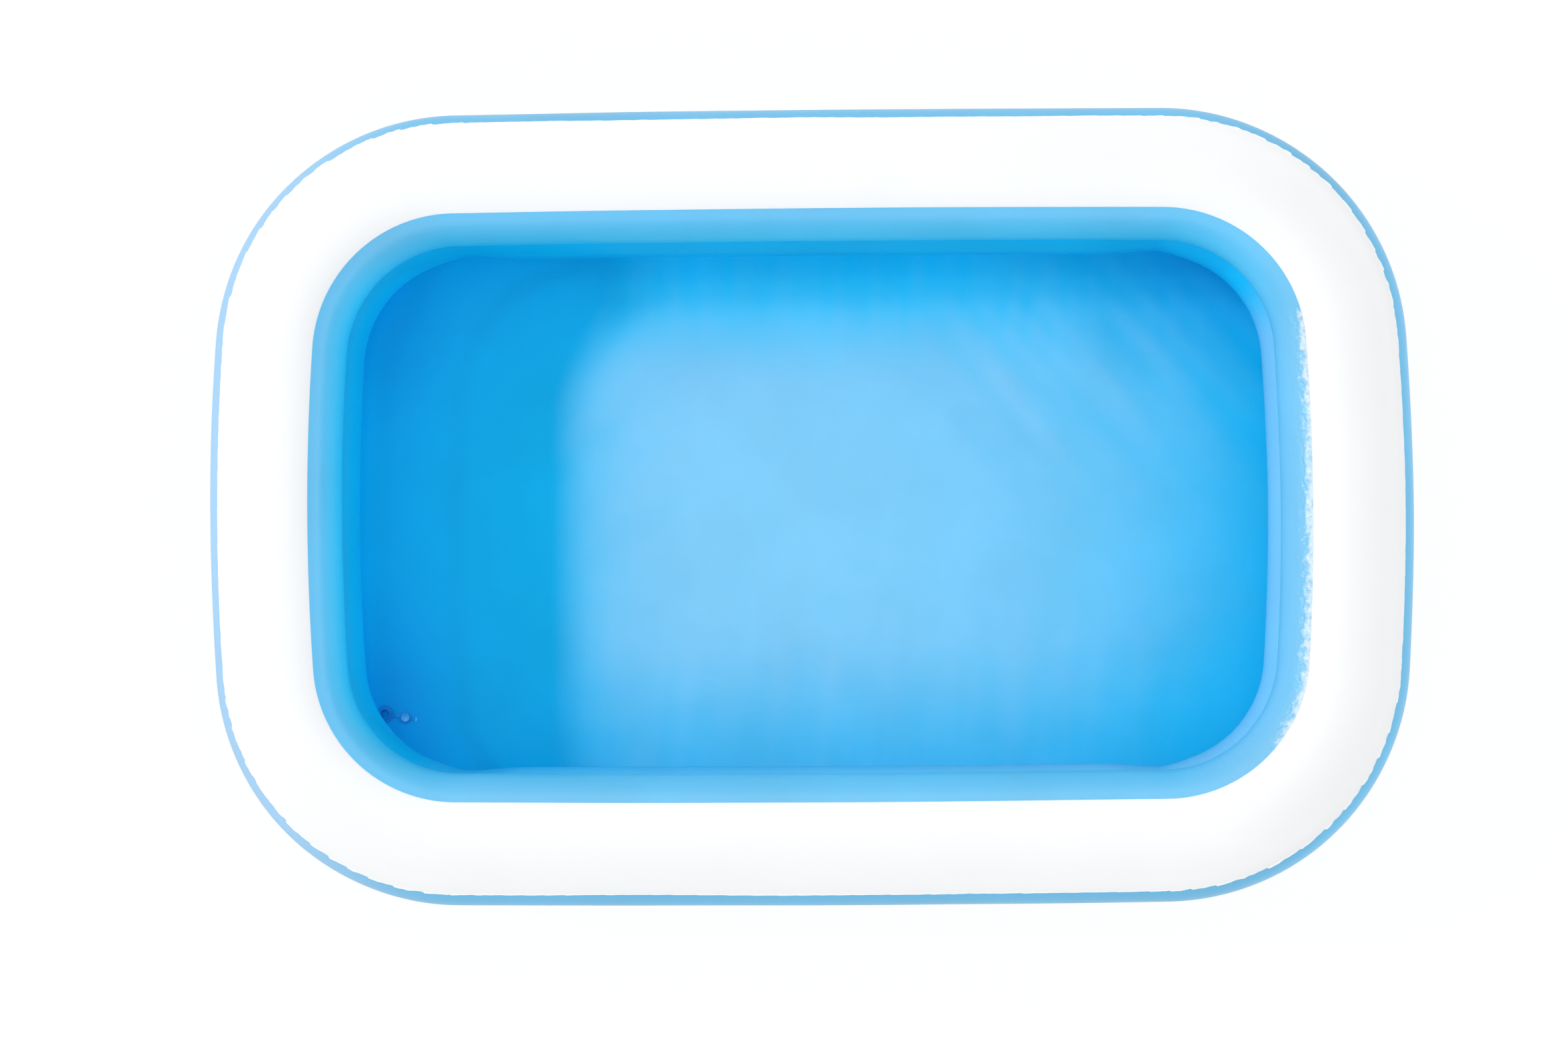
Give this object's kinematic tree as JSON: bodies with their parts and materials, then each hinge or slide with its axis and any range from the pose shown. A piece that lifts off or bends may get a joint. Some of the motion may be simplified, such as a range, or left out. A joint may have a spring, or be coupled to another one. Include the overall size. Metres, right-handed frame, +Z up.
{
  "type": "inflatable family pool",
  "caption": "Rectangular inflatable pool with rounded corners: stacked air rings on a floor sheet, a white top panel, a floor drain with a flip-over plug and air valves that push in.",
  "frame": {"origin": "on the ground under the middle of the pool", "axes": "+Z up, +X along the pool's length towards the end with the air valves, +Y across it away from the side with the air valves"},
  "size_m": [2.62, 1.74, 0.51],
  "materials": {
    "floor_vinyl": "satin",
    "lower_wall_vinyl": "satin",
    "upper_wall_vinyl": "satin",
    "white_vinyl": "satin",
    "drain_plastic": "satin",
    "plug_plastic": "satin",
    "valve_plastic": "satin",
    "cap_plastic": "satin"
  },
  "bodies": {
    "pool": {"floor_sheet": "floor_vinyl", "lower_outer_wall": "lower_wall_vinyl", "lower_inner_wall": "lower_wall_vinyl", "ring_divider": "lower_wall_vinyl", "upper_outer_wall": "upper_wall_vinyl", "upper_inner_wall": "upper_wall_vinyl", "top_panel": "white_vinyl", "drain_socket": "drain_plastic", "lower_valve_base": "valve_plastic", "upper_valve_base": "valve_plastic"},
    "plug": {"drain_plug": "plug_plastic"},
    "lower_stem": {"lower_valve_stem": "valve_plastic"},
    "lower_flap": {"lower_valve_flap": "valve_plastic"},
    "lower_cap": {"lower_valve_cap": "cap_plastic"},
    "upper_stem": {"upper_valve_stem": "valve_plastic"},
    "upper_flap": {"upper_valve_flap": "valve_plastic"},
    "upper_cap": {"upper_valve_cap": "cap_plastic"}
  },
  "joints": [
    {"name": "drain_plug_swing", "type": "hinge", "parent": "pool", "child": "plug", "pos_m": [-0.94305, -0.45036, 0.004], "axis": [-0.184, -0.9829, 0], "range_deg": [0, 180]},
    {"name": "lower_stem_slide", "type": "slide", "parent": "pool", "child": "lower_stem", "axis": [0.0078, -0.891, -0.454], "range_m": [0, 0.012]},
    {"name": "lower_cap_hinge", "type": "hinge", "parent": "lower_stem", "child": "lower_cap", "pos_m": [0.63631, -0.84918, 0.06315], "axis": [1, 0.0088, 0], "range_deg": [0, 170]},
    {"name": "lower_flap_hinge", "type": "hinge", "parent": "lower_stem", "child": "lower_flap", "pos_m": [0.63619, -0.83519, 0.076], "axis": [-1, -0.0088, 0], "range_deg": [0, 50], "stiffness_Nm_per_rad": 0.0002},
    {"name": "upper_stem_slide", "type": "slide", "parent": "pool", "child": "upper_stem", "axis": [0.0078, -0.8882, -0.4593], "range_m": [0, 0.012]},
    {"name": "upper_cap_hinge", "type": "hinge", "parent": "upper_stem", "child": "upper_cap", "pos_m": [0.63621, -0.83766, 0.29223], "axis": [1, 0.0088, 0], "range_deg": [0, 170]},
    {"name": "upper_flap_hinge", "type": "hinge", "parent": "upper_stem", "child": "upper_flap", "pos_m": [0.63609, -0.82375, 0.30516], "axis": [-1, -0.0088, 0], "range_deg": [0, 50], "stiffness_Nm_per_rad": 0.0002}
  ]
}
